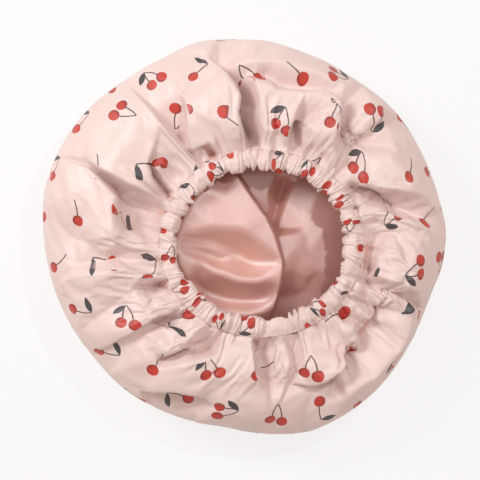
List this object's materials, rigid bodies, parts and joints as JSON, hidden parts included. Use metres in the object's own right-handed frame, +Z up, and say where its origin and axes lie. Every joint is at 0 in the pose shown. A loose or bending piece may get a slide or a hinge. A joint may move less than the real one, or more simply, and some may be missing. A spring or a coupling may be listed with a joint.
{
  "type": "shower cap",
  "caption": "Bouffant shower cap lying crown down, printed outer cloth and satin lining gathered into an elastic hem round its open mouth.",
  "frame": {"origin": "centre of the cap's box seen from above, on the surface that the crown lies on", "axes": "+Z up out of the mouth, +X to the right and +Y to the top of the picture"},
  "size_m": [0.292, 0.2852, 0.0796],
  "materials": {
    "outer_cloth": "blush coated cloth with a tossed cherry print",
    "satin_lining": "dusty rose satin",
    "elastic": "white flat knitted elastic",
    "thread": "rose polyester sewing thread"
  },
  "bodies": {
    "crown": {"outer_shell": "outer_cloth", "lining": "satin_lining"},
    "rim": {"elastic_casing": "outer_cloth", "elastic_band": "elastic", "elastic_join_tack": "thread", "hem_needle_thread": "thread", "hem_bobbin_thread": "thread"}
  },
  "joints": [
    {"name": "rim_lift", "type": "slide", "parent": "crown", "child": "rim", "axis": [0, 0, 1], "range_m": [0, 0.06], "deforming": ["outer_shell", "lining"]}
  ]
}
